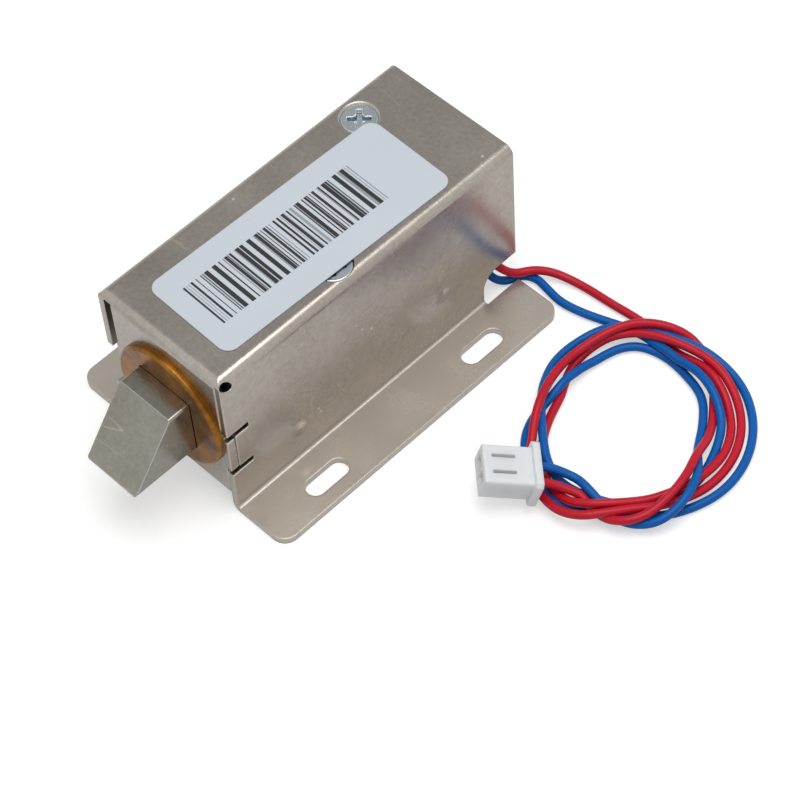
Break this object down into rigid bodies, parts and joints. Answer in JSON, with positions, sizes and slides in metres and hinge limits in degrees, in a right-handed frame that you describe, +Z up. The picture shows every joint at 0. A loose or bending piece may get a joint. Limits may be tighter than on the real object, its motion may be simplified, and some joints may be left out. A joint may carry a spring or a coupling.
{
  "type": "electronic cabinet lock",
  "caption": "Solenoid cabinet lock in a folded sheet cover with slotted flanges, a spring bolt with a bevelled nose, and coiled red and blue leads that end in a white plug.",
  "frame": {"origin": "centre of the four mounting slots, on the flanges' underside", "axes": "+X along the bolt towards the lock's rear, so the bolt throws towards -X; +Y across the flanges, away from the side where the leads come out; +Z up, out of the mounting face"},
  "size_m": [0.0752, 0.0804, 0.0281],
  "materials": {
    "zinc_plated_steel": "satin",
    "bronze": "worn satin",
    "nickel_plated_steel": "satin",
    "bright_steel": "turned",
    "black_rubber": "matt",
    "spring_steel": "bright drawn",
    "brass_tube": "drawn",
    "bobbin_nylon": "matt",
    "copper_winding": "enamelled wire",
    "yellow_tape": "glossy film",
    "red_sleeve": "matt",
    "blue_sleeve": "matt",
    "blue_zinc_screws": "satin",
    "white_paper": "matt",
    "red_insulation": "satin",
    "blue_insulation": "satin",
    "white_nylon": "satin",
    "tinned_brass": "tinned"
  },
  "bodies": {
    "lock": {"cover": "zinc_plated_steel", "guide_bush": "bronze", "return_spring": "spring_steel", "yoke": "zinc_plated_steel", "guide_tube": "brass_tube", "fixed_core": "bright_steel", "bobbin": "bobbin_nylon", "winding": "copper_winding", "coil_tape": "yellow_tape", "red_splice": "red_sleeve", "blue_splice": "blue_sleeve", "cover_screws": "blue_zinc_screws", "label": "white_paper", "red_lead": "red_insulation", "blue_lead": "blue_insulation", "lead_ring": "blue_insulation", "red_tail": "red_insulation", "blue_tail": "blue_insulation", "plug_housing": "white_nylon", "plug_contacts": "tinned_brass"},
    "bolt": {"latch_bolt": "nickel_plated_steel", "plunger": "bright_steel", "cross_pin": "bright_steel", "stop_washer": "bright_steel", "bumper_ring": "black_rubber"}
  },
  "joints": [
    {"name": "bolt_slide", "type": "slide", "parent": "lock", "child": "bolt", "axis": [1, 0, 0], "range_m": [0, 0.01], "stiffness_N_per_m": 150, "springref_m": -0.012, "deforming": ["return_spring"]}
  ]
}
